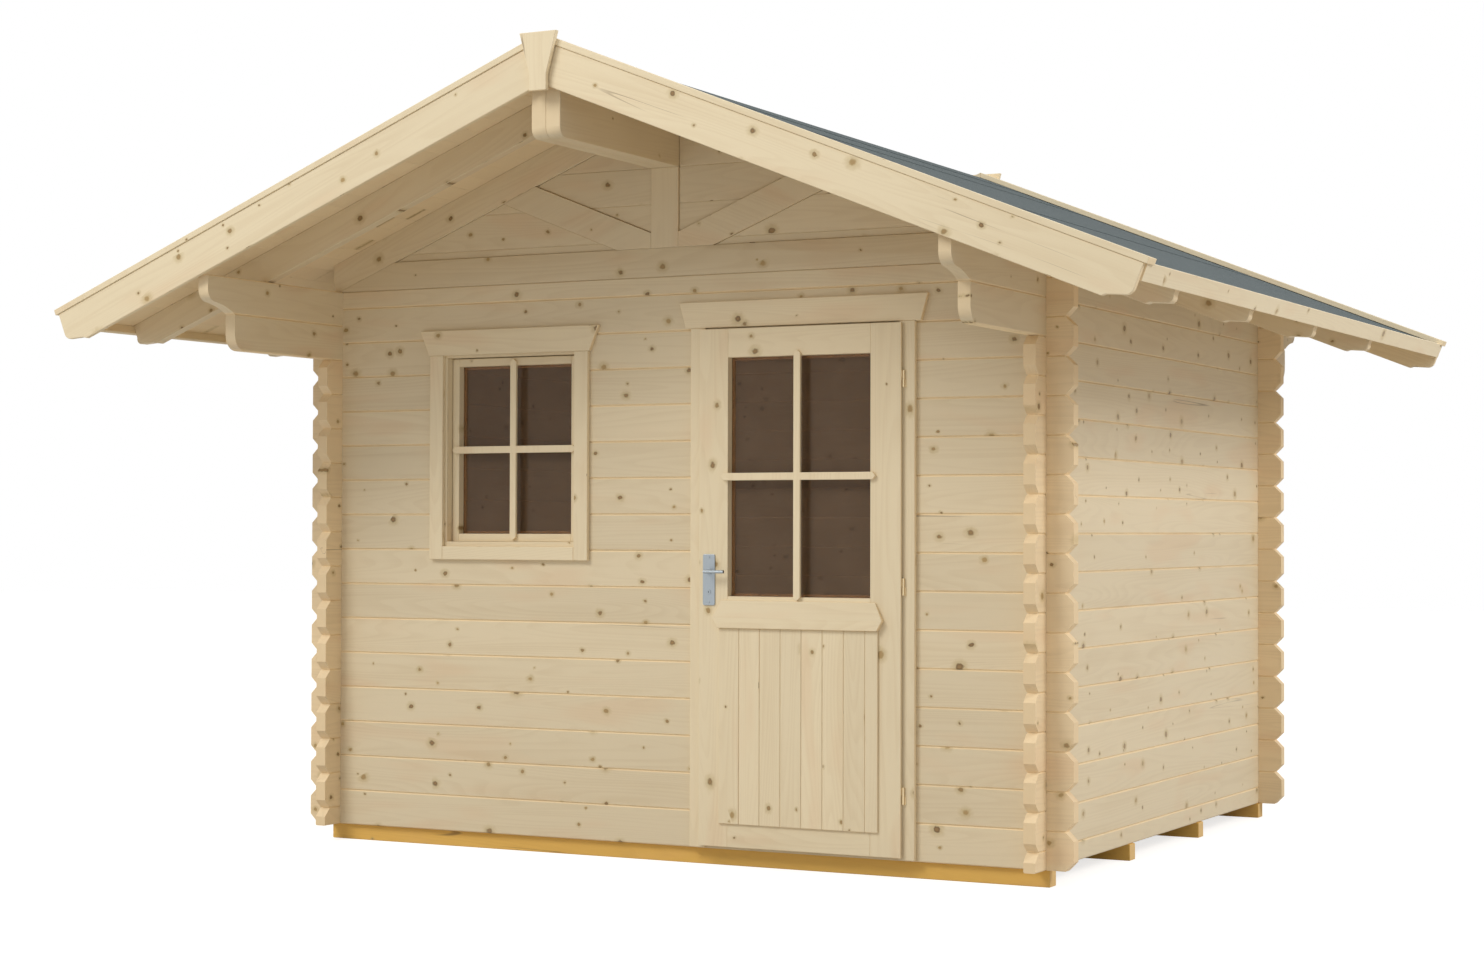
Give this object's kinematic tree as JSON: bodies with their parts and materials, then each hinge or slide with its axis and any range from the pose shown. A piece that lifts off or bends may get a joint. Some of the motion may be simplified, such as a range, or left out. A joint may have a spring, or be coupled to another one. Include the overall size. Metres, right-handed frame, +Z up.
{
  "type": "log cabin",
  "caption": "Small pitched-roof log cabin of interlocking bare wood logs, with a deep front roof overhang, a glazed hinged door and a window",
  "frame": {"origin": "on the ground below the middle of the roof's plan", "axes": "+X to the right seen from the front, +Y from the front wall to the rear, +Z up"},
  "size_m": [4.3266, 4.002, 2.9097],
  "materials": {
    "log_wood": "bare planed spruce",
    "board_wood": "bare planed spruce boards",
    "joinery_wood": "bare sanded spruce",
    "treated_wood": "yellow-brown treated softwood",
    "felt": "blue-grey mineral roofing felt",
    "glass": "clear float glass",
    "steel": "satin steel"
  },
  "bodies": {
    "cabin": {"front_wall_left": "log_wood", "front_wall_right": "log_wood", "front_wall_over_door": "log_wood", "rear_wall": "log_wood", "left_wall": "log_wood", "right_wall": "log_wood", "front_gable_frame": "log_wood", "rear_gable_frame": "log_wood", "front_gable_boards": "board_wood", "rear_gable_boards": "board_wood", "ridge_purlin": "log_wood", "rafters": "board_wood", "roof_boards_left": "board_wood", "roof_boards_right": "board_wood", "eave_boards": "board_wood", "front_bargeboards": "board_wood", "rear_bargeboards": "board_wood", "front_cap_strips": "board_wood", "rear_cap_strips": "board_wood", "finials": "board_wood", "floor": "board_wood", "door_frame": "joinery_wood", "door_casings": "board_wood", "door_head_casing": "board_wood", "window_frame": "joinery_wood", "window_sash": "joinery_wood", "window_casings": "board_wood", "window_head_casing": "board_wood", "window_bars": "joinery_wood", "base_beams": "treated_wood", "roof_felt_left": "felt", "roof_felt_right": "felt", "window_glass": "glass", "frame_hinges": "steel"},
    "door": {"door_leaf": "joinery_wood", "door_glass": "glass", "door_bars": "joinery_wood", "door_panel_boards": "board_wood", "door_drip_board": "joinery_wood", "door_handle_plates": "steel", "door_lever": "steel", "leaf_hinges": "steel"}
  },
  "joints": [
    {"name": "door_hinge", "type": "hinge", "parent": "cabin", "child": "door", "pos_m": [0.9773, -1.1446, 1], "axis": [0, 0, 1], "range_deg": [0, 110]}
  ]
}
